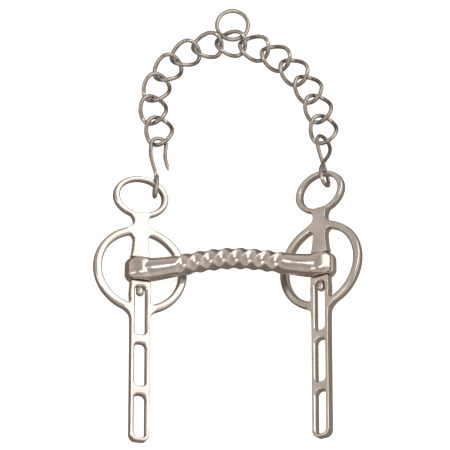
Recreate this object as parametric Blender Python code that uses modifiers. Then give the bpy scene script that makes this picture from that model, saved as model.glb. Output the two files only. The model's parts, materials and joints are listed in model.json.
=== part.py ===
"""Liverpool driving curb bit with swivel cheeks, an arched twisted mouthpiece and a curb chain.

The bit lies on a flat surface. X runs along the mouthpiece, Y runs up the cheeks towards the
curb chain and Z is up. Every length is in metres and the origin is on the surface, below the
middle of the whole object.
"""
import math

import bmesh
import bpy
import numpy as np
from mathutils import Matrix, Vector

MM = 0.001

# overall
BAR_SPACING = 131 * MM        # between the two pivot lines of the mouthpiece
CHEEK_THICKNESS = 6.2 * MM
FIT_GAP = 0.3 * MM            # between pieces that touch
ORIGIN_SHIFT = Vector((2.32 * MM, -40.65 * MM, 0.08 * MM))

# how the cheeks lie: the inner half of each big ring rests on the surface
RIGHT_TILT = math.radians(36)
RING_LIFT = CHEEK_THICKNESS / 2 + FIT_GAP     # middle of the ring's section above the surface

# cheek, measured from the mouthpiece's middle along the bar
EYE_HALF_WIDTH = 18.4 * MM    # to the middle of the rim
EYE_HALF_HEIGHT = 14.4 * MM
EYE_RIM_WIDTH = 4.9 * MM
RING_HALF_WIDTH = 32.0 * MM
RING_HALF_HEIGHT = 30.6 * MM
RING_RIM_WIDTH = 6.2 * MM
NECK_LENGTH = 12.2 * MM       # between the middles of the two rims
EYE_CENTRE = RING_HALF_HEIGHT + NECK_LENGTH + EYE_HALF_HEIGHT
NECK_HALF_WIDTH = 5.4 * MM
UPPER_COLLAR_RADIUS = 6.9 * MM
LOWER_COLLAR_RADIUS = 7.4 * MM
BAR_STAND = 0.3 * MM          # how far the bar's flats stand above the cheek's faces
SLOT_WIDTH = 8.4 * MM
SHANK_WALL = 3.0 * MM         # beside a slot
SHANK_FOOT = 2.6 * MM         # below the last slot
SHANK_HALF_WIDTH = SLOT_WIDTH / 2 + SHANK_WALL
SLOT_LENGTH = 32.5 * MM
SLOT_BRIDGE = 6.8 * MM
SLOT_FLARE = 1.1 * MM         # rounding of a slot's edges at both faces
FIRST_SLOT_LENGTH = 37.3 * MM
SLOT_COVER = 3.8 * MM         # from the lower collar's end to the first slot

# mouthpiece
MOUTH_RADIUS = 7.7 * MM
MOUTH_FLARE = 0.8 * MM        # thicker towards each boss
FLARE_START = 6 * MM          # past the twist
FLARE_LENGTH = 12 * MM
MOUTH_RISE = 7.3 * MM
MOUTH_SETTLE = 1.18 * MM      # what the slope takes off the height of the bar over the left ring
MOUTH_INSET = 4 * MM          # from the pivot line to the loft's end, inside the boss
BOSS_SIDE_COVER = 2.7 * MM    # the boss over the bar's end, beside it and along the pivot line
BOSS_END_COVER = 0.1 * MM
BOSS_RADIUS = MOUTH_RADIUS + MOUTH_FLARE + BOSS_SIDE_COVER
BOSS_HALF_HEIGHT = MOUTH_RADIUS + MOUTH_FLARE + BOSS_END_COVER
BOSS_ROUNDING = 5.0 * MM
BOSS_FLATTEN = 0.82           # height of the boss over its width
BOSS_PLAY = 0.6 * MM          # to the collar at each end
COLLAR_END = BOSS_HALF_HEIGHT + BOSS_PLAY
FIRST_SLOT_TOP = COLLAR_END + SLOT_COVER
FIRST_SLOT_END = FIRST_SLOT_TOP + FIRST_SLOT_LENGTH
SMOOTH_LENGTH = 27.5 * MM     # from the pivot line to the twist
TWIST_HALF_LENGTH = BAR_SPACING / 2 - SMOOTH_LENGTH
TWIST_LEAD = 39 * MM
TWIST_DEPTH = 0.55 * MM
PIN_RADIUS = 2.0 * MM
PIN_SOCKET_DEPTH = 8.0 * MM
PIN_HEAD_RADIUS = 2.8 * MM
PIN_HEAD_SEAT = 1.1 * MM       # the head stands below the slot's rounded top

# curb chain
WIRE = 3.1 * MM
LINK_HALF_LENGTH = 10.7 * MM  # to the middle of the wire
LINK_HALF_WIDTH = 9.5 * MM
LINK_PLAY = 0.7 * MM
LINK_RISE = WIRE + LINK_PLAY  # how far the wire waves above and below the flat
LINK_COUNT = 13
CHAIN_HEADING = math.radians(104.4)   # the heading and bend that the closing starts from
CHAIN_BEND = math.radians(22.24)
CHAIN_BEND_EASE = math.radians(0.52)
FIRST_LINK_TURN = math.radians(-8.4)  # of the end links, from the chain's own line
LAST_LINK_TURN = math.radians(-8.68)
CHAIN_CLEARANCE = 0.15 * MM   # over the surface
CHAIN_HEIGHT = LINK_RISE + WIRE / 2 + CHAIN_CLEARANCE + ORIGIN_SHIFT.z
FLY_RADIUS = 11.6 * MM
FLY_SEAT = WIRE + FIT_GAP     # the ring's near side, outward of the middle link's middle
FLY_OFFSET = Vector((0.7 * MM, FLY_RADIUS + FLY_SEAT, 0.25 * MM))
FLY_TILT = math.radians(1.5)
FLY_ROLL = math.radians(1.5)

# curb hook and figure-eight link
HOOK_WIRE = 2.9 * MM
HOOK_SEAT = 11.4 * MM         # from the bar's line, along the eye's rim
HOOK_DROP = 1.0 * MM          # middle of the hook's loop below the rim
HOOK_LOOP_HALF_LENGTH = 8.0 * MM
HOOK_LOOP_HALF_WIDTH = 6.0 * MM
HOOK_LOOP_ROLL = math.radians(86.6)
HOOK_BEND_RADIUS = 5.5 * MM
HOOK_REACH = 41.0 * MM        # from the middle of the loop to the top of the bend
HOOK_TIP_REACH = 15.0 * MM
HOOK_LEAN = math.radians(-2.8)
HOOK_TURN = math.radians(6.8)
EIGHT_HALF_LENGTH = 27.0 * MM
EIGHT_HALF_WIDTH = 6.0 * MM
EIGHT_CROSSING = 1.65 * MM
EIGHT_ROLL = math.radians(50)
EIGHT_SEAT = 6.57 * MM        # from the bar's line, along the eye's rim
EIGHT_DROP = 9.5 * MM         # the link's near end inside the rim
EIGHT_LIFT = 3.83 * MM        # and above the middle of the cheek

# from the hook's bend and from the figure-eight's far end to the wire of the links they hold
HOOK_TO_LINK = Vector((1.3 * MM, -(HOOK_WIRE + WIRE) / 2 - 1.97 * MM, 1.04 * MM))
EIGHT_TO_LINK = Vector((0.84 * MM, -(HOOK_WIRE + WIRE) / 2 - 1.63 * MM, 1.27 * MM))

STEEL = (0.62, 0.60, 0.57)


def clear_scene():
    for obj in list(bpy.data.objects):
        bpy.data.objects.remove(obj, do_unlink=True)


def make_collection(name):
    collection = bpy.data.collections.new(name)
    bpy.context.scene.collection.children.link(collection)
    return collection


def make_material(name, colour, roughness):
    material = bpy.data.materials.new(name)
    material.use_nodes = True
    shader = material.node_tree.nodes["Principled BSDF"]
    shader.inputs["Base Color"].default_value = (*colour, 1.0)
    shader.inputs["Metallic"].default_value = 1.0
    shader.inputs["Roughness"].default_value = roughness
    return material


def add_object(name, data, collection, matrix=None):
    obj = bpy.data.objects.new(name, data)
    collection.objects.link(obj)
    if matrix is not None:
        obj.matrix_world = matrix
    return obj


def solid_mesh(obj):
    """The evaluated shape of a helper object as a welded mesh; the helper is removed."""
    depsgraph = bpy.context.evaluated_depsgraph_get()
    mesh = bpy.data.meshes.new_from_object(obj.evaluated_get(depsgraph))
    mesh.transform(obj.matrix_world)
    bm = bmesh.new()
    bm.from_mesh(mesh)
    bmesh.ops.remove_doubles(bm, verts=bm.verts, dist=1e-6)
    bmesh.ops.recalc_face_normals(bm, faces=bm.faces)
    bm.to_mesh(mesh)
    bm.free()
    bpy.data.objects.remove(obj, do_unlink=True)
    return mesh


def turned(profile, steps, closed=False):
    """A mesh turned about Z from (radius, height) points that run top to bottom."""
    mesh = bpy.data.meshes.new("profile")
    points = [(radius, 0.0, height) for radius, height in profile]
    edges = [(i, i + 1) for i in range(len(points) - 1)]
    if closed:
        edges.append((len(points) - 1, 0))
    mesh.from_pydata(points, edges, [])
    helper = add_object("turned_helper", mesh, bpy.context.scene.collection)
    screw = helper.modifiers.new("turn", "SCREW")
    screw.steps = steps
    screw.render_steps = steps
    screw.use_merge_vertices = True
    screw.merge_threshold = 1e-6
    bpy.context.view_layer.update()
    return solid_mesh(helper)


def plate(outlines, thickness, rounding):
    """A flat plate in XY from closed outlines, the first outside and the rest holes."""
    curve = bpy.data.curves.new("outline", "CURVE")
    curve.dimensions = "2D"
    curve.fill_mode = "BOTH"
    curve.extrude = thickness / 2
    curve.render_resolution_u = 0
    for outline in outlines:
        spline = curve.splines.new("POLY")
        spline.points.add(len(outline) - 1)
        for point, (x, y) in zip(spline.points, outline):
            point.co = (x, y, 0.0, 1.0)
        spline.use_cyclic_u = True
    helper = add_object("plate_helper", curve, bpy.context.scene.collection)
    weld = helper.modifiers.new("weld", "WELD")
    weld.merge_threshold = 1e-6
    bevel = helper.modifiers.new("rounding", "BEVEL")
    bevel.width = rounding
    bevel.segments = 1
    bevel.limit_method = "ANGLE"
    bevel.angle_limit = math.radians(50)
    bpy.context.view_layer.update()
    return solid_mesh(helper)


def wire_mesh(points, diameter, closed):
    """Round wire along a path, eight-sided."""
    curve = bpy.data.curves.new("wire", "CURVE")
    curve.dimensions = "3D"
    curve.bevel_depth = diameter / 2
    curve.bevel_resolution = 2
    curve.use_fill_caps = not closed
    curve.render_resolution_u = 0
    spline = curve.splines.new("POLY")
    spline.points.add(len(points) - 1)
    for point, place in zip(spline.points, points):
        point.co = (*place, 1.0)
    spline.use_cyclic_u = closed
    helper = add_object("wire_helper", curve, bpy.context.scene.collection)
    bpy.context.view_layer.update()
    return solid_mesh(helper)


def combine(first, second, operation):
    """The Boolean of two meshes, both used up."""
    collection = bpy.context.scene.collection
    body = add_object("boolean_body", first, collection)
    tool = add_object("boolean_tool", second, collection)
    boolean = body.modifiers.new("boolean", "BOOLEAN")
    boolean.operation = operation
    boolean.solver = "EXACT"
    boolean.object = tool
    bpy.context.view_layer.update()
    mesh = solid_mesh(body)
    bpy.data.objects.remove(tool, do_unlink=True)
    return mesh


def loft(rings):
    """A closed solid through rings of points, each ring with the same number of points."""
    bm = bmesh.new()
    rows = [[bm.verts.new(point) for point in ring] for ring in rings]
    count = len(rows[0])
    for near, far in zip(rows, rows[1:]):
        for k in range(count):
            bm.faces.new((near[k], near[(k + 1) % count], far[(k + 1) % count], far[k]))
    bm.faces.new(rows[0])
    bm.faces.new(rows[-1])
    bmesh.ops.recalc_face_normals(bm, faces=bm.faces)
    mesh = bpy.data.meshes.new("loft")
    bm.to_mesh(mesh)
    bm.free()
    return mesh


def placed(mesh, matrix):
    mesh.transform(matrix)
    return mesh


def smooth_path(points, steps):
    """A Catmull-Rom curve through the points, open at both ends."""
    path = []
    ends = [points[0] * 2 - points[1], *points, points[-1] * 2 - points[-2]]
    for i in range(1, len(ends) - 2):
        p0, p1, p2, p3 = ends[i - 1:i + 3]
        for k in range(steps):
            t = k / steps
            path.append(0.5 * (2 * p1 + (p2 - p0) * t + (2 * p0 - 5 * p1 + 4 * p2 - p3) * t ** 2
                               + (3 * p1 - p0 - 3 * p2 + p3) * t ** 3))
    path.append(points[-1].copy())
    return path


def arc(centre, radius, start, end, count):
    """Points (x, y) on a circle between two angles in degrees, both ends included."""
    angles = [math.radians(start + (end - start) * i / (count - 1)) for i in range(count)]
    return [(centre[0] + radius * math.cos(a), centre[1] + radius * math.sin(a)) for a in angles]


# where the two bars and the mouthpiece lie

def bar_height(tilt):
    return RING_HALF_WIDTH * math.sin(tilt) + RING_LIFT


# the mouthpiece lies on the inner side of the left ring
LEFT_TILT = math.asin((MOUTH_RADIUS + CHEEK_THICKNESS / 2 - MOUTH_SETTLE) / RING_HALF_WIDTH)
LEFT_HEIGHT = bar_height(LEFT_TILT)
RIGHT_HEIGHT = bar_height(RIGHT_TILT)
MOUTH_SLOPE = math.asin((RIGHT_HEIGHT - LEFT_HEIGHT) / BAR_SPACING)


def mouth_matrix():
    middle = Vector((0.0, 0.0, (LEFT_HEIGHT + RIGHT_HEIGHT) / 2))
    return Matrix.Translation(middle + ORIGIN_SHIFT) @ Matrix.Rotation(-MOUTH_SLOPE, 4, "Y")


def cheek_matrix(side):
    """side is -1 for the left cheek and 1 for the right one."""
    pivot = mouth_matrix() @ Vector((side * BAR_SPACING / 2, 0.0, 0.0))
    tilt = LEFT_TILT if side < 0 else -RIGHT_TILT
    return Matrix.Translation(pivot) @ Matrix.Rotation(tilt, 4, "Y")


# cheek

def rim_section(half_width, half_thickness, corner):
    """A closed section of a ring's rim about the origin, outer side first, top to bottom."""
    return [
        (half_width - corner, half_thickness),
        (half_width, half_thickness - corner),
        (half_width, -half_thickness + corner),
        (half_width - corner, -half_thickness),
        (-half_width + corner, -half_thickness),
        (-half_width, -half_thickness + corner),
        (-half_width, half_thickness - corner),
        (-half_width + corner, half_thickness),
    ]


def oval_ring(half_width, half_height, rim_width, thickness, rounding, steps):
    section = rim_section(rim_width / 2, thickness / 2, rounding)
    profile = [(half_width + x, z) for x, z in section]
    ring = turned(profile, steps, closed=True)
    return placed(ring, Matrix.Diagonal((1.0, half_height / half_width, 1.0, 1.0)))


def neck_outline():
    """From inside the eye's lower rim down the neck, half widths at heights up the bar."""
    eye_foot = EYE_CENTRE - EYE_HALF_HEIGHT
    widths = [
        (eye_foot + 2.0 * MM, 9.4 * MM),
        (eye_foot, 7.6 * MM),
        (eye_foot - 2.2 * MM, 6.1 * MM),
        (eye_foot - 4.4 * MM, NECK_HALF_WIDTH),
        (RING_HALF_HEIGHT + 5.0 * MM, NECK_HALF_WIDTH + 0.3 * MM),
        (RING_HALF_HEIGHT + 2.8 * MM, NECK_HALF_WIDTH + 2.2 * MM),
        (RING_HALF_HEIGHT + 1.0 * MM, NECK_HALF_WIDTH + 5.4 * MM),
        (RING_HALF_HEIGHT - 2.6 * MM, NECK_HALF_WIDTH + 3.6 * MM),
        (RING_HALF_HEIGHT - 4.4 * MM, NECK_HALF_WIDTH + 1.0 * MM),
        (RING_HALF_HEIGHT - 8.0 * MM, NECK_HALF_WIDTH - 0.6 * MM),
    ]
    right = [(half, y) for y, half in widths]
    left = [(-half, y) for y, half in reversed(widths)]
    return right + left


def slot_ring(top, bottom, grow, height):
    """A slot's outline at one height through the plate, grown outward; tops and bottoms are down the bar."""
    half = SLOT_WIDTH / 2 + grow
    corner = SLOT_WIDTH / 2 - 0.9 * MM + grow
    middles = (
        ((half - corner, -top + grow - corner), 0),
        ((-half + corner, -top + grow - corner), 90),
        ((-half + corner, -bottom - grow + corner), 180),
        ((half - corner, -bottom - grow + corner), 270),
    )
    ring = []
    for centre, start in middles:
        ring += [Vector((x, y, height)) for x, y in arc(centre, corner, start, start + 90, 4)]
    return ring


def slot_cutter(top, bottom):
    """Straight through the middle of the plate and flared at both faces."""
    face = CHEEK_THICKNESS / 2
    levels = (
        (-4 * face, SLOT_FLARE),
        (-face - 0.3 * MM, SLOT_FLARE),
        (-face + SLOT_FLARE, 0.0),
        (face - SLOT_FLARE, 0.0),
        (face + 0.3 * MM, SLOT_FLARE),
        (4 * face, SLOT_FLARE),
    )
    return loft([slot_ring(top, bottom, grow, height) for height, grow in levels])


def slot_spans():
    spans = [(FIRST_SLOT_TOP, FIRST_SLOT_END)]
    for _ in range(2):
        top = spans[-1][1] + SLOT_BRIDGE
        spans.append((top, top + SLOT_LENGTH))
    return spans


def shank_outline():
    top = COLLAR_END + 1.2 * MM
    corner = SHANK_HALF_WIDTH - 2.2 * MM
    right = [
        (LOWER_COLLAR_RADIUS - 0.2 * MM, -top),
        (LOWER_COLLAR_RADIUS + 0.5 * MM, -top - 8 * MM),
        (SHANK_HALF_WIDTH + 0.4 * MM, -RING_HALF_HEIGHT + 6.0 * MM),
        (SHANK_HALF_WIDTH + 1.4 * MM, -RING_HALF_HEIGHT + 4.0 * MM),
        (SHANK_HALF_WIDTH + 4.2 * MM, -RING_HALF_HEIGHT + 2.0 * MM),
        (SHANK_HALF_WIDTH + 4.4 * MM, -RING_HALF_HEIGHT - 0.6 * MM),
        (SHANK_HALF_WIDTH + 1.8 * MM, -RING_HALF_HEIGHT - 3.0 * MM),
        (SHANK_HALF_WIDTH + 0.3 * MM, -RING_HALF_HEIGHT - 6.5 * MM),
        (SHANK_HALF_WIDTH, -FIRST_SLOT_END),
    ]
    foot = -slot_spans()[-1][1] - SHANK_FOOT + corner
    right += arc((SHANK_HALF_WIDTH - corner, foot), corner, 0, -90, 5)
    left = [(-x, y) for x, y in reversed(right)]
    return right + left


def upper_collar():
    """The round bar from the neck to the mouthpiece, turned about its own line."""
    foot = COLLAR_END
    profile = [
        (0.0, RING_HALF_HEIGHT),
        (NECK_HALF_WIDTH - 0.9 * MM, RING_HALF_HEIGHT),
        (NECK_HALF_WIDTH - 0.1 * MM, RING_HALF_HEIGHT - 5 * MM),
        (NECK_HALF_WIDTH + 0.2 * MM, RING_HALF_HEIGHT - 11 * MM),
        (UPPER_COLLAR_RADIUS - 0.5 * MM, foot + 4.0 * MM),
        (UPPER_COLLAR_RADIUS, foot + 1.8 * MM),
        (UPPER_COLLAR_RADIUS, foot + 0.4 * MM),
        (UPPER_COLLAR_RADIUS - 0.4 * MM, foot),
        (0.0, foot),
    ]
    return turned(profile, 20)


def lower_collar():
    head = COLLAR_END
    profile = [
        (0.0, -head),
        (LOWER_COLLAR_RADIUS - 0.4 * MM, -head),
        (LOWER_COLLAR_RADIUS, -head - 0.4 * MM),
        (LOWER_COLLAR_RADIUS, -head - 3.0 * MM),
        (LOWER_COLLAR_RADIUS - 1.2 * MM, -head - 9.0 * MM),
        (LOWER_COLLAR_RADIUS - 3.6 * MM, -head - 18.0 * MM),
        (0.0, -head - 18.0 * MM),
    ]
    return turned(profile, 20)


def flatten(mesh):
    """Trim a round bar to the cheek's two flats."""
    bm = bmesh.new()
    bmesh.ops.create_cube(bm, size=1.0)
    slab = bpy.data.meshes.new("slab")
    bm.to_mesh(slab)
    bm.free()
    slab.transform(Matrix.Diagonal((60 * MM, 140 * MM, CHEEK_THICKNESS + 2 * BAR_STAND, 1.0)))
    return combine(mesh, slab, "INTERSECT")


def bore(radius, low, high, steps=16):
    """A cylinder along the bar between two heights."""
    mesh = turned([(0.0, high), (radius, high), (radius, low), (0.0, low)], steps)
    return placed(mesh, Matrix.Rotation(math.radians(-90), 4, "X"))


def along_bar(mesh):
    """Stand a mesh that was turned about Z along the bar's Y instead."""
    return placed(mesh, Matrix.Rotation(math.radians(-90), 4, "X"))


def cheek_mesh():
    body = plate([neck_outline()], CHEEK_THICKNESS, 1.2 * MM)
    shank = plate([shank_outline()], CHEEK_THICKNESS + 0.1 * MM, 1.2 * MM)
    eye = oval_ring(EYE_HALF_WIDTH, EYE_HALF_HEIGHT, EYE_RIM_WIDTH,
                    CHEEK_THICKNESS - 0.2 * MM, 1.4 * MM, 32)
    big_ring = oval_ring(RING_HALF_WIDTH, RING_HALF_HEIGHT, RING_RIM_WIDTH,
                         CHEEK_THICKNESS + 0.2 * MM, 1.7 * MM, 40)
    body = combine(body, placed(eye, Matrix.Translation((0, EYE_CENTRE, 0))), "UNION")
    body = combine(body, shank, "UNION")
    body = combine(body, big_ring, "UNION")
    body = combine(body, flatten(along_bar(upper_collar())), "UNION")
    body = combine(body, flatten(along_bar(lower_collar())), "UNION")
    for top, bottom in slot_spans():
        body = combine(body, slot_cutter(top, bottom), "DIFFERENCE")
    socket = COLLAR_END + PIN_SOCKET_DEPTH
    hole = bore(PIN_RADIUS + FIT_GAP, -FIRST_SLOT_TOP - 1 * MM, socket)
    return combine(body, hole, "DIFFERENCE")


def pin_mesh():
    """The pivot pin: a headed rivet put in from the first slot."""
    top = COLLAR_END + PIN_SOCKET_DEPTH - FIT_GAP
    head = -FIRST_SLOT_TOP - PIN_HEAD_SEAT
    profile = [
        (0.0, top),
        (PIN_RADIUS - 0.4 * MM, top),
        (PIN_RADIUS, top - 0.4 * MM),
        (PIN_RADIUS, head),
        (PIN_HEAD_RADIUS, head),
        (PIN_HEAD_RADIUS, head - 3.6 * MM),
        (PIN_HEAD_RADIUS - 0.7 * MM, head - 5.0 * MM),
        (PIN_HEAD_RADIUS - 1.9 * MM, head - 5.8 * MM),
        (0.0, head - 6.0 * MM),
    ]
    return along_bar(turned(profile, 16))


# mouthpiece

def mouth_line(x):
    """How far the arch rises up the cheeks at x."""
    return MOUTH_RISE * math.cos(math.pi * x / BAR_SPACING) ** 2


def mouth_radius(x, angle):
    """The twisted middle is a square bar with hollow faces; the ends are round."""
    inside = max(0.0, min(1.0, (TWIST_HALF_LENGTH + 2 * MM - abs(x)) / (4 * MM)))
    fade = inside * inside * (3 - 2 * inside)
    turn = 2 * math.pi * x / TWIST_LEAD
    lobes = math.cos(4 * (angle + turn))
    past = abs(x) - TWIST_HALF_LENGTH - FLARE_START
    spread = max(0.0, min(1.0, past / FLARE_LENGTH)) * MOUTH_FLARE
    return MOUTH_RADIUS + spread - 0.2 * MM * fade + TWIST_DEPTH * fade * lobes


def mouth_bar():
    """A loft of round sections into twisted four-lobed ones along the arch."""
    sides = 20
    middle_count = 40
    edge = TWIST_HALF_LENGTH + 1.9 * MM
    smooth = BAR_SPACING / 2 - MOUTH_INSET - edge
    ends = [-edge - smooth * share for share in (1.0, 0.66, 0.35, 0.09)]
    middle = [(-1 + 2 * i / middle_count) * edge for i in range(middle_count + 1)]
    stations = ends + middle + [-x for x in reversed(ends)]
    rings = []
    for x in stations:
        slope = math.atan2(mouth_line(x + MM) - mouth_line(x - MM), 2 * MM)
        across = Vector((-math.sin(slope), math.cos(slope), 0.0))
        ring = []
        for k in range(sides):
            angle = 2 * math.pi * k / sides
            radius = mouth_radius(x, angle)
            offset = across * (radius * math.cos(angle)) + Vector((0, 0, radius * math.sin(angle)))
            ring.append(Vector((x, mouth_line(x), 0.0)) + offset)
        rings.append(ring)
    return loft(rings)


def boss_mesh(side):
    """The barrel at the mouthpiece's end that turns on the pivot pin."""
    flat = BOSS_RADIUS - BOSS_ROUNDING
    profile = [(0.0, BOSS_HALF_HEIGHT)]
    steps = 4
    for i in range(steps + 1):
        a = math.radians(90 - 90 * i / steps)
        profile.append((flat + BOSS_ROUNDING * math.cos(a),
                        BOSS_HALF_HEIGHT - BOSS_ROUNDING + BOSS_ROUNDING * math.sin(a)))
    profile += [(r, -z) for r, z in reversed(profile)]
    barrel = along_bar(turned(profile, 28))
    place = Matrix.Translation((side * BAR_SPACING / 2, 0.0, 0.0))
    return placed(barrel, place @ Matrix.Diagonal((1.0, 1.0, BOSS_FLATTEN, 1.0)))


def mouthpiece_mesh():
    body = mouth_bar()
    for side in (-1, 1):
        body = combine(body, boss_mesh(side), "UNION")
        hole = bore(PIN_RADIUS + FIT_GAP, -BOSS_HALF_HEIGHT - MM, BOSS_HALF_HEIGHT + MM)
        place = Matrix.Translation((side * BAR_SPACING / 2, 0.0, 0.0))
        body = combine(body, placed(hole, place), "DIFFERENCE")
    return body


# chain

def link_path(count=24):
    """An oval that waves up and down, so that its two ends lean opposite ways."""
    path = []
    for i in range(count):
        t = 2 * math.pi * i / count
        path.append(Vector((LINK_HALF_LENGTH * math.cos(t), LINK_HALF_WIDTH * math.sin(t),
                            LINK_RISE * math.sin(2 * t))))
    return path


def fly_path(count=24):
    return [Vector((FLY_RADIUS * math.cos(2 * math.pi * i / count),
                    FLY_RADIUS * math.sin(2 * math.pi * i / count), 0.0)) for i in range(count)]


# curb hook: a closed loop on the eye, a shank and an open bend turned across the loop

def hook_path():
    loop = []
    across = Vector((math.cos(HOOK_LOOP_ROLL), 0.0, math.sin(HOOK_LOOP_ROLL)))
    for i in range(15):
        t = math.radians(38 + 302 * i / 14)
        loop.append(Vector((0, 1, 0)) * HOOK_LOOP_HALF_LENGTH * math.cos(t)
                    + across * HOOK_LOOP_HALF_WIDTH * math.sin(t))
    bend_centre = HOOK_REACH - HOOK_BEND_RADIUS
    left = -HOOK_BEND_RADIUS
    shank = [
        loop[-1],
        Vector((-0.8 * MM, HOOK_LOOP_HALF_LENGTH + 3.5 * MM, 0.0)),
        Vector((-2.6 * MM, HOOK_LOOP_HALF_LENGTH + 9.0 * MM, 0.0)),
        Vector((left + 0.3 * MM, bend_centre - 9.0 * MM, 0.0)),
        Vector((left, bend_centre, 0.0)),
    ]
    bend = [Vector((x, y, 0.0)) for x, y in arc((0.0, bend_centre), HOOK_BEND_RADIUS, 180, 0, 11)]
    tip = [
        bend[-1],
        Vector((-left - 0.1 * MM, bend_centre - 5.0 * MM, 0.0)),
        Vector((-left + 0.2 * MM, bend_centre - 11.0 * MM, 0.0)),
        Vector((-left + 2.9 * MM, HOOK_TIP_REACH, 0.0)),
    ]
    return loop[:-1] + smooth_path(shank, 3)[:-1] + bend[:-1] + smooth_path(tip, 3)


def rim_height(across):
    """Height up the bar of the eye's rim, at a distance from the bar's line."""
    return EYE_CENTRE + EYE_HALF_HEIGHT * math.sqrt(1 - (across / EYE_HALF_WIDTH) ** 2)


def hook_matrix():
    """The hook leans down from the left eye until its bend is at the first link."""
    seat = cheek_matrix(-1) @ Vector((HOOK_SEAT, rim_height(HOOK_SEAT) - HOOK_DROP, 0.0))
    slope = math.asin((seat.z - CHAIN_HEIGHT + HOOK_TO_LINK.z) / HOOK_REACH)
    return (Matrix.Translation(seat) @ Matrix.Rotation(HOOK_LEAN, 4, "Z")
            @ Matrix.Rotation(-slope, 4, "X") @ Matrix.Rotation(HOOK_TURN, 4, "Y"))


def eight_path(count=36):
    """A figure of eight whose two strands pass one over the other in the middle."""
    path = []
    for i in range(count):
        t = 2 * math.pi * i / count
        path.append(Vector((EIGHT_HALF_WIDTH * math.sin(2 * t), EIGHT_HALF_LENGTH * math.cos(t),
                            EIGHT_CROSSING * math.sin(t))))
    return path


def eight_matrix():
    """The link leans down from the right eye until its far end is at the last link."""
    near = cheek_matrix(1) @ Vector((EIGHT_SEAT, rim_height(EIGHT_SEAT) - EIGHT_DROP, EIGHT_LIFT))
    slope = math.asin((near.z - CHAIN_HEIGHT + EIGHT_TO_LINK.z) / (2 * EIGHT_HALF_LENGTH))
    return (Matrix.Translation(near) @ Matrix.Rotation(-slope, 4, "X")
            @ Matrix.Rotation(EIGHT_ROLL, 4, "Y") @ Matrix.Translation((0, EIGHT_HALF_LENGTH, 0)))


# where the links of the chain lie

def heading_vector(heading):
    return Vector((math.cos(heading), math.sin(heading), 0.0))


def chain_line(heading, bend):
    """Places and turns of the links for one first heading and bend, from the hook onwards."""
    pitch = 2 * LINK_HALF_LENGTH - WIRE - LINK_PLAY
    headings = [heading - bend * k + CHAIN_BEND_EASE * k * k for k in range(LINK_COUNT - 1)]
    turns = [headings[0] + FIRST_LINK_TURN]
    turns += [(a + b) / 2 for a, b in zip(headings, headings[1:])]
    turns.append(headings[-1] + LAST_LINK_TURN)
    hold = hook_matrix() @ Vector((0.0, HOOK_REACH, 0.0)) + HOOK_TO_LINK
    start = hold + heading_vector(turns[0]) * LINK_HALF_LENGTH
    places = [Vector((start.x, start.y, CHAIN_HEIGHT))]
    for step in headings:
        places.append(places[-1] + heading_vector(step) * pitch)
    return places, turns


def chain_miss(heading, bend):
    """How far the last link's end stands from the figure-eight link's far end."""
    places, turns = chain_line(heading, bend)
    hold = eight_matrix() @ Vector((0.0, EIGHT_HALF_LENGTH, 0.0)) + EIGHT_TO_LINK
    end = places[-1] + heading_vector(turns[-1]) * LINK_HALF_LENGTH
    return np.array((end.x - hold.x, end.y - hold.y))


def close_chain():
    """The first heading and the bend that lead the chain from the hook to the figure-eight."""
    guess = np.array((CHAIN_HEADING, CHAIN_BEND))
    probe = 1e-5
    for _ in range(12):
        miss = chain_miss(*guess)
        slopes = [(chain_miss(*(guess + probe * side)) - miss) / probe for side in np.eye(2)]
        guess = guess - np.linalg.solve(np.transpose(slopes), miss)
    return chain_line(*guess)


def link_matrices():
    return [Matrix.Translation(place) @ Matrix.Rotation(turn, 4, "Z")
            for place, turn in zip(*close_chain())]


def fly_matrix(middle_link):
    return (middle_link @ Matrix.Translation(FLY_OFFSET) @ Matrix.Rotation(FLY_TILT, 4, "X")
            @ Matrix.Rotation(FLY_ROLL, 4, "Y"))


def add_part(name, mesh, collection, matrix, material, parent=None):
    mesh.name = name
    obj = add_object(name, mesh, collection, matrix)
    mesh.materials.clear()
    mesh.materials.append(material)
    mesh.shade_smooth()
    mesh.set_sharp_from_angle(angle=math.radians(40))
    if parent is not None:
        obj.parent = parent
        obj.matrix_parent_inverse = parent.matrix_world.inverted()
    return obj


def add_axis(name, collection, matrix):
    axis = add_object(name, None, collection, matrix)
    axis.empty_display_size = 0.02
    bpy.context.view_layer.update()
    return axis


def main():
    clear_scene()
    parts = make_collection("curb_bit")
    cast = make_material("polished_stainless_cast", STEEL, 0.16)
    wire = make_material("polished_stainless_wire", STEEL, 0.22)

    add_part("mouthpiece", mouthpiece_mesh(), parts, mouth_matrix(), cast)
    for side, name in ((-1, "left"), (1, "right")):
        matrix = cheek_matrix(side)
        axis = add_axis(name + "_swivel_axis", parts, matrix)
        add_part(name + "_cheek", cheek_mesh(), parts, matrix, cast, axis)
        add_part(name + "_pivot_pin", pin_mesh(), parts, matrix, cast, axis)
    add_part("curb_hook", wire_mesh(hook_path(), HOOK_WIRE, False), parts, hook_matrix(), wire)
    add_part("figure_eight_link", wire_mesh(eight_path(), HOOK_WIRE, True), parts,
             eight_matrix(), wire)
    matrices = link_matrices()
    for number, matrix in enumerate(matrices, start=1):
        link = wire_mesh(link_path(), WIRE, True)
        add_part(f"curb_link_{number:02d}", link, parts, matrix, wire)
    middle_link = matrices[LINK_COUNT // 2]
    add_part("fly_link", wire_mesh(fly_path(), WIRE, True), parts, fly_matrix(middle_link), wire)


main()
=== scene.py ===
import json
import math

import bmesh
import bpy
from mathutils import Matrix, Vector


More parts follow.
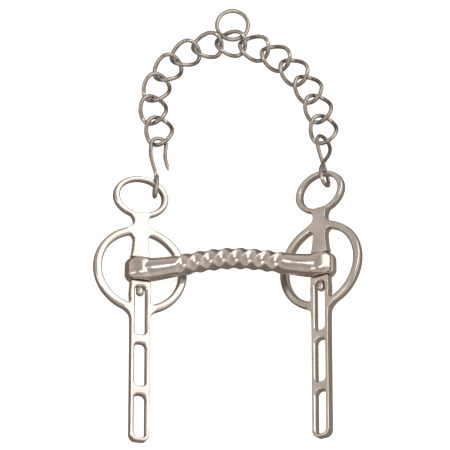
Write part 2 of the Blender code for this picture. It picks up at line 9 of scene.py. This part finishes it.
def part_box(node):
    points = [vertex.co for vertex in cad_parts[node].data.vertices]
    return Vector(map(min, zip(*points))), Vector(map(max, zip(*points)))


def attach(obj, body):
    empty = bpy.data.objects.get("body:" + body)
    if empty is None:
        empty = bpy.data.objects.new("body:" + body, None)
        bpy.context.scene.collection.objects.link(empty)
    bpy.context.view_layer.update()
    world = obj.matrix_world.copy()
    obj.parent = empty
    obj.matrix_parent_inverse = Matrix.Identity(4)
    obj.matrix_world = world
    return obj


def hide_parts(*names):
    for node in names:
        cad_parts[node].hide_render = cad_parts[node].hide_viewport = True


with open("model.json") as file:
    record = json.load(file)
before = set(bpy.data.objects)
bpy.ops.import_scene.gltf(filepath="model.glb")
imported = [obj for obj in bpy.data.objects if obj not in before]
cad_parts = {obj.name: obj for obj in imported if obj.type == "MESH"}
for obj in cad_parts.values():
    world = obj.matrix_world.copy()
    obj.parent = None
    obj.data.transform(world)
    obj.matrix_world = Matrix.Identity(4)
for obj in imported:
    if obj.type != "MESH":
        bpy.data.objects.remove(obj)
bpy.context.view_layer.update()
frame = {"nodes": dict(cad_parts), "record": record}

mm = 0.001
record = frame["record"]
joints = {joint["name"]: joint for joint in record["behaviour"]["joints"]}
mounts = {mount["name"]: mount for mount in record["mounts"]}
linkNames = sorted(name for name in frame["nodes"] if name.startswith("curb_link_"))


# colours are written as sRGB hex and turned linear here
def hexColour(text):
    channels = [int(text[i:i + 2], 16) / 255 for i in (1, 3, 5)]
    return tuple(c / 12.92 if c <= 0.04045 else ((c + 0.055) / 1.055) ** 2.4 for c in channels)


# in0, in1 ... set sockets, anything else sets a property; links are (socket, other node, its output)
def addNode(tree, kind, links=(), **settings):
    node = tree.nodes.new(kind)
    for key, value in settings.items():
        if key.startswith("in"):
            node.inputs[int(key[2:])].default_value = value
        else:
            setattr(node, key, value)
    for socket, other, output in links:
        tree.links.new(other.outputs[output], node.inputs[socket])
    return node


def newObject(name, data, matrix=None):
    obj = bpy.data.objects.new(name, data)
    bpy.context.scene.collection.objects.link(obj)
    if matrix is not None:
        obj.matrix_world = matrix
    return obj


# the shape of a helper object with its modifiers applied, as a mesh; the helper goes away
def takeMesh(obj):
    bpy.context.view_layer.update()
    depsgraph = bpy.context.evaluated_depsgraph_get()
    mesh = bpy.data.meshes.new_from_object(obj.evaluated_get(depsgraph))
    bpy.data.objects.remove(obj, do_unlink=True)
    return mesh


def meshFrom(points, edges, faces):
    mesh = bpy.data.meshes.new("shape")
    mesh.from_pydata(points, edges, faces)
    return mesh


# turned about the Y axis from (radius, height) points
def turnedMesh(profile, steps=96, closed=False):
    points = [(radius * mm, height * mm, 0) for radius, height in profile]
    edges = [(i, i + 1) for i in range(len(points) - 1)]
    if closed:
        edges.append((len(points) - 1, 0))
    helper = newObject("turning", meshFrom(points, edges, []))
    screw = helper.modifiers.new("turn", "SCREW")
    screw.axis = "Y"
    screw.steps = screw.render_steps = steps
    screw.use_merge_vertices = True
    screw.merge_threshold = 0.00001
    return takeMesh(helper)


# a flat bar between the outline's halves, with its edges rounded off
def plateMesh(outline, thickness, rounding):
    curve = bpy.data.curves.new("outline", "CURVE")
    curve.dimensions = "2D"
    curve.fill_mode = "BOTH"
    curve.extrude = thickness * mm / 2
    spline = curve.splines.new("POLY")
    spline.points.add(len(outline) - 1)
    for point, (x, y) in zip(spline.points, outline):
        point.co = (x * mm, y * mm, 0, 1)
    spline.use_cyclic_u = True
    helper = newObject("plate", curve)
    weld = helper.modifiers.new("weld", "WELD")
    weld.merge_threshold = 0.00001
    bevel = helper.modifiers.new("rounding", "BEVEL")
    bevel.width = rounding * mm
    bevel.segments = 4
    bevel.angle_limit = math.radians(40)
    return takeMesh(helper)


# round wire along points in millimetres; swell(i) thickens it locally
def wireMesh(points, diameter, closed, swell=None):
    curve = bpy.data.curves.new("wire", "CURVE")
    curve.dimensions = "3D"
    curve.bevel_depth = diameter * mm / 2
    curve.bevel_resolution = 7
    curve.use_fill_caps = not closed
    curve.twist_smooth = 12
    spline = curve.splines.new("POLY")
    spline.points.add(len(points) - 1)
    for i, (point, place) in enumerate(zip(spline.points, points)):
        point.co = (*(place * mm), 1)
        point.radius = swell(i) if swell else 1
    spline.use_cyclic_u = closed
    return takeMesh(newObject("wire", curve))


def loftMesh(rings):
    count = len(rings[0])
    points = [point * mm for ring in rings for point in ring]
    faces = []
    for i in range(len(rings) - 1):
        for k in range(count):
            a, b = i * count + k, i * count + (k + 1) % count
            faces.append((a, b, b + count, a + count))
    faces.append(tuple(range(count - 1, -1, -1)))
    faces.append(tuple(range(len(points) - count, len(points))))
    return meshFrom(points, [], faces)


def moved(mesh, matrix):
    mesh.transform(matrix)
    return mesh


def joined(meshes):
    bm = bmesh.new()
    for mesh in meshes:
        bm.from_mesh(mesh)
    bmesh.ops.recalc_face_normals(bm, faces=bm.faces)
    whole = bpy.data.meshes.new("joined")
    bm.to_mesh(whole)
    bm.free()
    return whole


# a Catmull-Rom curve through given points
def smoothPath(points, steps):
    path = []
    ends = [points[0] * 2 - points[1], *points, points[-1] * 2 - points[-2]]
    for i in range(1, len(ends) - 2):
        a, b, c, d = ends[i - 1:i + 3]
        for k in range(steps):
            t = k / steps
            path.append((b * 2 + (c - a) * t + (a * 2 - b * 5 + c * 4 - d) * t ** 2
                         + (b * 3 - a - c * 3 + d) * t ** 3) / 2)
    return path + [points[-1]]


def smoothOutline(corners, steps=6):
    path = smoothPath([Vector((x, y, 0)) for x, y in corners], steps)
    return [(p.x, p.y) for p in path]


def arc(x, y, radius, start, end, count):
    angles = [math.radians(start + (end - start) * i / (count - 1)) for i in range(count)]
    return [(x + radius * math.cos(a), y + radius * math.sin(a)) for a in angles]


# frames: where each piece lies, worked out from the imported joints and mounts
def frameFrom(place, x, y, z):
    columns = Matrix((x, y, z)).transposed().to_4x4()
    return Matrix.Translation(place) @ columns


def cheekFrame(side):
    place = Vector(joints[side + "_swivel"]["pos_m"])
    z = Vector(mounts[side + "_shank_face"]["axis"])
    y = Vector((0, 1, 0))
    return frameFrom(place, y.cross(z), y, z)


def mouthFrame():
    left, right = (Vector(joints[side + "_swivel"]["pos_m"]) for side in ("left", "right"))
    x = (right - left).normalized()
    y = Vector((0, 1, 0))
    return frameFrom((left + right) / 2, x, y, x.cross(y))


def boxMiddle(node):
    low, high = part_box(node)
    return (Vector(low) + Vector(high)) / 2


def linkFrame(node):
    joint = joints["fly_swing" if node == "curb_link_07" else node.replace("curb_", "") + "_rock"]
    x = Vector(joint["axis"])
    z = Vector((0, 0, 1))
    return frameFrom(boxMiddle(node), x, z.cross(x), z)


# polished stainless, investment cast and buffed: bright and smooth, with faint waves left by the
# buffing wheel, hair scratches from use and duller patches; the hollows get painted shade
castSteel = dict(
    light="#D9D5D1",
    dark="#C6BFB9",
    # painted shade: the colour that the hollows darken towards
    film="#8A8073",
    waveSize=9.0,        # mm between waves of the buffing
    waveHeight=0.02,
    scratchWidth=0.35,   # mm, coarser than real ones so that they show
    scratchHeight=0.004,
    smudgeSize=14.0,
    grainSize=0.6,
    roughness=(0.07, 0.22),
)

# stainless wire, drawn, bent, welded and tumbled bright: softer shine than the castings, with
# small dents from the tumbling
wireSteel = dict(
    light="#C4C1BD",
    dark="#A39E98",
    # painted shade: the colour that the hollows darken towards
    film="#6F685E",
    waveSize=3.2,
    waveHeight=0.02,
    scratchWidth=0.3,
    scratchHeight=0.003,
    smudgeSize=6.0,
    grainSize=0.6,
    roughness=(0.14, 0.3),
)


def steel(name, look):
    material = bpy.data.materials.new(name)
    material.use_nodes = True
    tree = material.node_tree
    shader = tree.nodes["Principled BSDF"]
    shader.inputs["Metallic"].default_value = 1
    shader.inputs["Anisotropic"].default_value = 0.15

    # every piece starts at its own spot in the pattern
    place = addNode(tree, "ShaderNodeTexCoord")
    which = addNode(tree, "ShaderNodeObjectInfo")
    shift = addNode(tree, "ShaderNodeVectorMath", [(0, which, "Random")],
                    operation="MULTIPLY", in1=(0.3, 0.5, 0.7))
    spot = addNode(tree, "ShaderNodeVectorMath", [(0, place, "Object"), (1, shift, 0)], operation="ADD")
    alongs = addNode(tree, "ShaderNodeMapping", [(0, spot, 0)], in3=(1, 0.06, 1))
    across = addNode(tree, "ShaderNodeMapping", [(0, spot, 0)], in2=(0, 0.2, 0.9), in3=(0.05, 1, 1))

    # noise scales are one over the real size in metres
    wave = addNode(tree, "ShaderNodeTexNoise", [(0, spot, 0)], in2=1 / (look["waveSize"] * mm), in3=2)
    scratch = addNode(tree, "ShaderNodeTexNoise", [(0, alongs, 0)],
                      in2=1 / (look["scratchWidth"] * mm), in3=4)
    crossing = addNode(tree, "ShaderNodeTexNoise", [(0, across, 0)],
                       in2=1 / (look["scratchWidth"] * 1.6 * mm), in3=3)
    smudge = addNode(tree, "ShaderNodeTexNoise", [(0, spot, 0)], in2=1 / (look["smudgeSize"] * mm), in3=6)
    grain = addNode(tree, "ShaderNodeTexNoise", [(0, spot, 0)], in2=1 / (look["grainSize"] * mm), in3=8)

    # thin lines are the tops of the stretched noise
    line = addNode(tree, "ShaderNodeMapRange", [(0, scratch, 0)], in1=0.6, in2=0.74)
    crossLine = addNode(tree, "ShaderNodeMapRange", [(0, crossing, 0)], in1=0.64, in2=0.76)
    lines = addNode(tree, "ShaderNodeMath", [(0, line, 0), (1, crossLine, 0)], operation="MAXIMUM")

    # painted shade: the colour darkens in hollows, found by pointiness, in patches set by the smudge noise
    form = addNode(tree, "ShaderNodeNewGeometry")
    hollow = addNode(tree, "ShaderNodeMapRange", [(0, form, "Pointiness")], in1=0.47, in2=0.41)
    patchy = addNode(tree, "ShaderNodeMapRange", [(0, smudge, 0)], in1=0.35, in2=0.7)
    paintedShadeAmount = addNode(tree, "ShaderNodeMath", [(0, hollow, 0), (1, patchy, 0)], operation="MULTIPLY")
    tone = addNode(tree, "ShaderNodeMix", [("Factor", patchy, 0)], data_type="RGBA",
                   in6=(*hexColour(look["light"]), 1), in7=(*hexColour(look["dark"]), 1))
    # the painted shade is mixed into the base colour here
    paintedShadeMix = addNode(tree, "ShaderNodeMix", [("Factor", paintedShadeAmount, 0), ("A", tone, "Result")],
                     data_type="RGBA", in7=(*hexColour(look["film"]), 1))
    tree.links.new(paintedShadeMix.outputs["Result"], shader.inputs["Base Color"])

    low, high = look["roughness"]
    dull = addNode(tree, "ShaderNodeMapRange", [(0, smudge, 0)], in1=0.3, in2=0.75, in3=low, in4=high)
    duller = addNode(tree, "ShaderNodeMath", [(0, lines, 0), (2, dull, 0)],
                     operation="MULTIPLY_ADD", in1=0.12)
    grainy = addNode(tree, "ShaderNodeMath", [(0, grain, 0), (2, duller, 0)],
                     operation="MULTIPLY_ADD", in1=0.04)
    tree.links.new(grainy.outputs[0], shader.inputs["Roughness"])

    waves = addNode(tree, "ShaderNodeBump", [("Height", wave, 0)], in1=look["waveHeight"] * mm)
    marks = addNode(tree, "ShaderNodeBump", [("Height", lines, 0), ("Normal", waves, 0)],
                    in1=look["scratchHeight"] * mm)
    marks.invert = True
    tree.links.new(marks.outputs[0], shader.inputs["Normal"])
    return material


castMaterial = steel("stainless_cast_buffed", castSteel)
wireMaterial = steel("stainless_wire_tumbled", wireSteel)
print("materials made")


# one finished piece: placed, smooth shaded, with its material, riding the body its CAD node is in
def addPiece(name, mesh, matrix, material, node, body):
    mesh.name = name
    mesh.materials.clear()
    mesh.materials.append(material)
    mesh.shade_smooth()
    obj = newObject(name, mesh, matrix)
    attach(obj, body)
    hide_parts(node)


# castings are joined and re-skinned, so that every junction gets the fillet of a casting
def castMesh(mesh, voxel, passes):
    helper = newObject("casting", mesh)
    skin = helper.modifiers.new("skin", "REMESH")
    skin.mode = "VOXEL"
    skin.voxel_size = voxel * mm
    soften = helper.modifiers.new("soften", "SMOOTH")
    soften.iterations = passes
    return takeMesh(helper)


def cutMesh(mesh, tools):
    body = newObject("body", mesh)
    tool = newObject("tool", joined(tools))
    boolean = body.modifiers.new("cut", "BOOLEAN")
    boolean.solver = "EXACT"
    boolean.object = tool
    cut = takeMesh(body)
    bpy.data.objects.remove(tool, do_unlink=True)
    return cut


cheek = dict(
    thickness=6.2,
    eyeCentre=57.2, eyeHalfWidth=18.4, eyeHalfHeight=14.4, eyeRim=4.9,
    ringHalfWidth=32.0, ringHalfHeight=30.6, ringRim=6.2,
    neckHalf=5.4, collarTop=6.9, collarFoot=7.4,
    shankHalf=7.2, shankEnd=131.5, footCorner=5,
    slotWidth=8.4, slots=((13.0, 50.3), (57.1, 89.6), (96.4, 128.9)), slotFlare=1.1,
    slotInset=0.9,       # how much a slot's end falls short of a half circle
    bossHalf=9.2,        # the gap in the bar that the mouthpiece's boss turns in
    barThickness=6.3,
    skin=0.32,           # the finest detail that the casting keeps
)


def ovalRing(halfWidth, halfHeight, rim, thickness, up):
    half = thickness / 2
    section = [(math.cos(a), math.sin(a)) for a in (2 * math.pi * i / 40 for i in range(40))]
    # a rim that is rounder than a square and squarer than a circle
    soft = [(math.copysign(abs(x) ** 0.62, x), math.copysign(abs(z) ** 0.62, z)) for x, z in section]
    profile = [(halfWidth + rim / 2 * x, half * z) for x, z in soft]
    ring = turnedMesh(profile, 180, closed=True)
    lay = Matrix.Rotation(math.radians(90), 4, "X")
    squash = Matrix.Diagonal((1, halfHeight / halfWidth, 1, 1))
    return moved(ring, Matrix.Translation((0, up * mm, 0)) @ squash @ lay)


# straight through the middle of the plate and flared at both faces
def slotTool(top, bottom, look):
    face, flare = look["thickness"] / 2, look["slotFlare"]
    outside = 3 * face
    levels = [(-outside, flare), (-face - 0.3, flare), (-face + flare, 0)]
    levels += [(face - flare, 0), (face + 0.3, flare), (outside, flare)]
    rings = []
    for height, grow in levels:
        half = look["slotWidth"] / 2 + grow
        corner = half - look["slotInset"]
        upper, lower = -top + grow - corner, -bottom - grow + corner
        inset = half - corner
        ring = arc(inset, upper, corner, 0, 90, 8) + arc(-inset, upper, corner, 90, 180, 8)
        ring += arc(-inset, lower, corner, 180, 270, 8) + arc(inset, lower, corner, 270, 360, 8)
        rings.append([Vector((x, y, height)) for x, y in ring])
    return loftMesh(rings)


def mirroredOutline(rightSide):
    return rightSide + [(-x, y) for x, y in reversed(rightSide)]


def cheekMesh(look):
    foot = look["eyeCentre"] - look["eyeHalfHeight"]
    ringTop = look["ringHalfHeight"]
    neck = look["neckHalf"]
    shank = look["shankHalf"]
    gap = look["bossHalf"]
    rounding = look["footCorner"]
    heel = -look["shankEnd"] + rounding
    neckSide = smoothOutline([
        (9.4, foot + 2), (7.6, foot), (6.1, foot - 2.2), (neck, foot - 4.4), (neck + 0.3, ringTop + 5),
        (neck + 2.2, ringTop + 2.8), (neck + 5.4, ringTop + 1), (neck + 3.6, ringTop - 2.6),
        (neck + 1, ringTop - 4.4), (neck - 0.6, ringTop - 8)])
    shankSide = smoothOutline([
        (look["collarFoot"] - 0.2, -gap - 1.2), (look["collarFoot"] + 0.5, -gap - 9.2),
        (shank + 0.4, -ringTop + 6), (shank + 1.4, -ringTop + 4), (shank + 4.2, -ringTop + 2),
        (shank + 4.4, -ringTop - 0.6), (shank + 1.8, -ringTop - 3), (shank + 0.3, -ringTop - 6.5),
        (shank, -50.3), (shank, -90.0), (shank, heel)])
    shankSide += arc(shank - rounding, heel, rounding, 0, -90, 10)[1:]
    top, low = look["collarTop"], look["collarFoot"]
    upperSide = smoothOutline([
        (neck - 0.6, ringTop - 6), (neck - 0.1, ringTop - 8), (neck + 0.2, ringTop - 12),
        (top - 0.6, gap + 4), (top, gap + 1.8), (top, gap + 0.4)]) + [(top - 0.4, gap)]
    lowerSide = [(low - 0.4, -gap)] + smoothOutline([
        (low, -gap - 0.4), (low, -gap - 3), (low - 0.2, -gap - 9), (low - 0.6, -gap - 16)])
    pieces = [
        plateMesh(mirroredOutline(neckSide), look["thickness"], 1.2),
        plateMesh(mirroredOutline(shankSide), look["thickness"] + 0.1, 1.2),
        ovalRing(look["eyeHalfWidth"], look["eyeHalfHeight"], look["eyeRim"],
                 look["thickness"] - 0.2, look["eyeCentre"]),
        ovalRing(look["ringHalfWidth"], ringTop, look["ringRim"], look["thickness"] + 0.2, 0),
        plateMesh(mirroredOutline(upperSide), look["barThickness"], 1.5),
        plateMesh(mirroredOutline(lowerSide), look["barThickness"], 1.5),
    ]
    whole = castMesh(joined(pieces), look["skin"], 3)
    tools = [slotTool(start, end, look) for start, end in look["slots"]]
    return castMesh(cutMesh(whole, tools), look["skin"], 4)


cheekShape = cheekMesh(cheek)
for side in ("left", "right"):
    node = side + "_cheek"
    addPiece(side + "Cheek", cheekShape.copy(), cheekFrame(side), castMaterial, node, node)
print("cheeks made")

# a rivet along the bar, its domed head in the first slot
pin = dict(radius=2.0, headRadius=2.8, head=14.1, headSide=3.4, headDome=2.6, top=17.5)


def pinMesh(look):
    radius, top = look["radius"], look["top"]
    wide, head = look["headRadius"], -look["head"]
    dome = head - look["headSide"]
    profile = [(0, top), (radius - 0.4, top), (radius, top - 0.4), (radius, head),
               (wide - 0.2, head), (wide, head - 0.2), (wide, dome)]
    for angle in range(8, 91, 8):
        a = math.radians(angle)
        profile.append((wide * math.cos(a), dome - look["headDome"] * math.sin(a)))
    profile.append((0, dome - look["headDome"]))
    return turnedMesh(profile, 48)


for side in ("left", "right"):
    addPiece(side + "PivotPin", pinMesh(pin), cheekFrame(side), castMaterial, side + "_pivot_pin",
             side + "_cheek")

mouth = dict(
    halfLength=65.5,
    radius=7.7, rise=7.3,
    flare=0.8, flareStart=44, flareLength=12,      # thicker towards each boss
    twistHalf=38.0, twistLead=39.0, twistFade=5,
    ridgeUp=0.3, faceDown=1.1, faceCurve=0.95,
    bossRadius=11.2, bossHalf=8.6, bossRounding=5.0, bossFlatten=0.82,
    inset=4,                                       # from the pivot line to the bar's end in the boss
    skin=0.28,
)


def mouthLine(x, look):
    return look["rise"] * math.cos(math.pi * x / (2 * look["halfLength"])) ** 2


# a square bar with hollow faces, twisted: four ridges wound along the middle
def mouthRadius(x, angle, look):
    away = abs(x)
    inside = max(0, min(1, (look["twistHalf"] - away) / look["twistFade"] + 0.5))
    fade = inside * inside * (3 - 2 * inside)
    turned = angle + 2 * math.pi * x / look["twistLead"]
    face = abs(math.sin(2 * turned)) ** look["faceCurve"]
    flare = look["flare"] * max(0, min(1, (away - look["flareStart"]) / look["flareLength"]))
    return look["radius"] + flare + fade * (look["ridgeUp"] - look["faceDown"] * face)


def mouthMesh(look):
    rings = []
    reach = look["halfLength"] - look["inset"]
    count = 420
    sides = 120
    for i in range(count + 1):
        x = -reach + 2 * reach * i / count
        slope = math.atan2(mouthLine(x + 1, look) - mouthLine(x - 1, look), 2)
        across = Vector((-math.sin(slope), math.cos(slope), 0))
        ring = []
        for k in range(sides):
            angle = 2 * math.pi * k / sides
            radius = mouthRadius(x, angle, look)
            ring.append(Vector((x, mouthLine(x, look), 0)) + across * (radius * math.cos(angle))
                        + Vector((0, 0, radius * math.sin(angle))))
        rings.append(ring)
    pieces = [loftMesh(rings)]
    half, rounding = look["bossHalf"], look["bossRounding"]
    corner = arc(look["bossRadius"] - rounding, half - rounding, rounding, 90, 0, 14)
    profile = [(0, half)] + corner + [(x, -y) for x, y in reversed(corner)] + [(0, -half)]
    for side in (-1, 1):
        boss = turnedMesh(profile, 160)
        place = Matrix.Translation((side * look["halfLength"] * mm, 0, 0))
        pieces.append(moved(boss, place @ Matrix.Diagonal((1, 1, look["bossFlatten"], 1))))
    return castMesh(joined(pieces), look["skin"], 2)


addPiece("mouthpiece", mouthMesh(mouth), mouthFrame(), castMaterial, "mouthpiece", "mouthpiece")
print("mouthpiece made")

# each link waves up and down, so that its two ends lean opposite ways
link = dict(wire=3.1, halfLength=10.7, halfWidth=9.5, rise=3.8,
            weldSwell=0.06, weldLength=0.09, weldPlace=0.27)      # shares of the wire and of its length


def linkPath(look, count=160):
    path = []
    for i in range(count):
        t = 2 * math.pi * i / count
        path.append(Vector((look["halfLength"] * math.cos(t), look["halfWidth"] * math.sin(t),
                            look["rise"] * math.sin(2 * t))))
    return path


# the ends of the wire are butt welded on one side, which leaves a slight swelling
def weldSwell(i, count, look):
    away = abs((i / count - look["weldPlace"] + 0.5) % 1 - 0.5)
    return 1 + look["weldSwell"] * math.exp(-(away / look["weldLength"] * 3) ** 2)


def wirePiece(name, mesh, matrix, node):
    addPiece(name, mesh, matrix, wireMaterial, node, node)


for node in linkNames:
    mesh = wireMesh(linkPath(link), link["wire"], True, lambda i: weldSwell(i, 160, link))
    wirePiece("curbLink" + node[-2:], mesh, linkFrame(node), node)

# the round link in the chain's middle
fly = dict(wire=3.1, radius=11.6, tilt=1.5, roll=1.5)


def flyPath(look, count=128):
    path = []
    for i in range(count):
        t = 2 * math.pi * i / count
        path.append(Vector((look["radius"] * math.cos(t), look["radius"] * math.sin(t), 0)))
    return path


def tilted(degrees, axis):
    return Matrix.Rotation(math.radians(degrees), 4, axis)


flyMesh = wireMesh(flyPath(fly), fly["wire"], True, lambda i: weldSwell(i, 128, link))
flyLay = linkFrame("curb_link_07").to_3x3().to_4x4() @ tilted(fly["tilt"], "X") @ tilted(fly["roll"], "Y")
wirePiece("flyLink", flyMesh, Matrix.Translation(boxMiddle("fly_link")) @ flyLay, "fly_link")
print("chain made")

hook = dict(
    wire=2.9,
    seat=11.4, drop=1.0,          # where the loop hangs on the eye's rim
    loopHalfLength=8.0, loopHalfWidth=6.0, loopRoll=86.6,
    bendRadius=5.5, reach=41.0, tipReach=15.0,
    slope=7.2, lean=-2.8, turn=6.8,
    tipPoints=6, tipTaper=0.06,   # the last points of the wire, ground to a blunt nose
)


def hookPath(look):
    roll = math.radians(look["loopRoll"])
    across = Vector((math.cos(roll), 0, math.sin(roll)))
    loop = []
    for i in range(60):
        t = math.radians(38 + 302 * i / 59)
        loop.append(Vector((0, 1, 0)) * look["loopHalfLength"] * math.cos(t)
                    + across * look["loopHalfWidth"] * math.sin(t))
    bend = look["reach"] - look["bendRadius"]
    r, end = look["bendRadius"], look["loopHalfLength"]
    shank = smoothPath([loop[-1], Vector((-0.8, end + 3.5, 0)), Vector((-2.6, end + 9, 0)),
                        Vector((-r + 0.3, bend - 9, 0)), Vector((-r, bend, 0))], 12)
    top = [Vector((x, y, 0)) for x, y in arc(0, bend, r, 180, 0, 40)]
    tip = smoothPath([top[-1], Vector((r - 0.1, bend - 5, 0)), Vector((r + 0.2, bend - 11, 0)),
                      Vector((r + 2.9, look["tipReach"], 0))], 12)
    return loop[:-1] + shank[:-1] + top[:-1] + tip


def hookFrame(look):
    along = look["seat"]
    rise = cheek["eyeHalfHeight"] * math.sqrt(1 - (along / cheek["eyeHalfWidth"]) ** 2)
    seat = cheekFrame("left") @ (Vector((along, cheek["eyeCentre"] + rise - look["drop"], 0)) * mm)
    turns = tilted(look["lean"], "Z") @ tilted(-look["slope"], "X") @ tilted(look["turn"], "Y")
    return Matrix.Translation(seat) @ turns


def tipTaper(i, count, look):
    past = i - (count - look["tipPoints"])
    return 1 if past < 0 else 1 - look["tipTaper"] * past ** 1.3


hookPoints = hookPath(hook)
hookMesh = wireMesh(hookPoints, hook["wire"], False, lambda i: tipTaper(i, len(hookPoints), hook))
wirePiece("curbHook", hookMesh, hookFrame(hook), "curb_hook")

# one loop of wire crossed over itself; the far end is the lower one
eight = dict(wire=2.9, halfLength=27.0, halfWidth=6.0, crossing=1.65, roll=50, slope=27.5)


def eightPath(look, count=200):
    path = []
    for i in range(count):
        t = 2 * math.pi * i / count
        path.append(Vector((look["halfWidth"] * math.sin(2 * t), look["halfLength"] * math.cos(t),
                            look["crossing"] * math.sin(t))))
    return path


eightLay = tilted(-eight["slope"], "X") @ tilted(eight["roll"], "Y")
wirePiece("figureEightLink", wireMesh(eightPath(eight), eight["wire"], True),
          Matrix.Translation(boxMiddle("figure_eight_link")) @ eightLay, "figure_eight_link")
print("hook and figure-eight link made")

# floor, light and camera
studio = dict(
    floor="#F7F6F4", floorGlow=0.8,
    low="#867C74", lowStrength=1.05,             # dark flags round the table, which draw the edges
    wall="#D2C8C0", wallStrength=1.05,
    ceiling="#C9BEB5", ceilingStrength=0.9,
    rightWall=1.3,                               # how much brighter the right side of the room is
)


def addSoftbox(name, size, place, target, brightness, colour="#FFFFFF"):
    data = bpy.data.lights.new(name, "AREA")
    data.shape = "RECTANGLE"
    data.size, data.size_y = size
    data.energy = brightness * math.pi * size[0] * size[1]
    data.color = hexColour(colour)
    lamp = newObject(name, data)
    lamp.location = place
    lamp.rotation_euler = (Vector(target) - Vector(place)).to_track_quat("-Z", "Y").to_euler()


floorMesh = meshFrom([(-6, -6, 0), (6, -6, 0), (6, 6, 0), (-6, 6, 0)], [], [(0, 1, 2, 3)])
floorMaterial = bpy.data.materials.new("paper_backdrop")
floorMaterial.use_nodes = True
paper = floorMaterial.node_tree.nodes["Principled BSDF"]
paper.inputs["Base Color"].default_value = (*hexColour(studio["floor"]), 1)
paper.inputs["Roughness"].default_value = 0.9
paper.inputs["Emission Color"].default_value = (*hexColour(studio["floor"]), 1)
paper.inputs["Emission Strength"].default_value = studio["floorGlow"]
floorMesh.materials.append(floorMaterial)
floor = newObject("floor", floorMesh)
floor.visible_glossy = False     # the steel reflects dark flags there instead, which draws its edges

world = bpy.data.worlds.new("studio")
bpy.context.scene.world = world
world.use_nodes = True
room = world.node_tree
sky = room.nodes["Background"]
heading = addNode(room, "ShaderNodeTexCoord")
axes = addNode(room, "ShaderNodeSeparateXYZ", [(0, heading, "Generated")])
height = addNode(room, "ShaderNodeValToRGB", [(0, axes, "Z")])
stops = height.color_ramp.elements


def glow(colour, strength):
    return (*(channel * strength for channel in hexColour(colour)), 1)


stops[0].position, stops[0].color = 0.0, glow(studio["low"], studio["lowStrength"])
stops[1].position, stops[1].color = 0.1, glow(studio["wall"], studio["wallStrength"])
stops.new(0.5).color = glow(studio["wall"], studio["wallStrength"])
stops.new(0.8).color = glow(studio["ceiling"], studio["ceilingStrength"])
room.links.new(height.outputs[0], sky.inputs["Color"])
brighter = addNode(room, "ShaderNodeMapRange", [(0, axes, "X")],
                   in1=0.1, in2=0.5, in3=1.0, in4=studio["rightWall"])
room.links.new(brighter.outputs[0], sky.inputs["Strength"])

addSoftbox("softboxRight", (0.5, 0.55), (0.36, 0.3, 0.55), (-0.05, 0, 0), 1.12)
addSoftbox("softboxTop", (0.16, 0.3), (0.03, 0.02, 0.6), (0, 0, 0), 3.2)
addSoftbox("softboxLeft", (0.2, 0.35), (-0.45, -0.1, 0.4), (0, 0, 0), 1.4, "#FFF3E8")

camera = dict(lens=329, distance=3.0, elevation=67.2, aim=(-1.6, 0.4, 0))
cameraData = bpy.data.cameras.new("camera")
cameraData.lens = camera["lens"]
cameraData.clip_start = 0.05
eye = newObject("camera", cameraData)
rise = math.radians(camera["elevation"])
eye.location = Vector(camera["aim"]) * mm + Vector((0, -math.cos(rise), math.sin(rise))) * camera["distance"]
eye.rotation_euler = (math.pi / 2 - rise, 0, 0)
bpy.context.scene.camera = eye
bpy.context.scene.view_settings.view_transform = "Standard"
print("studio made")
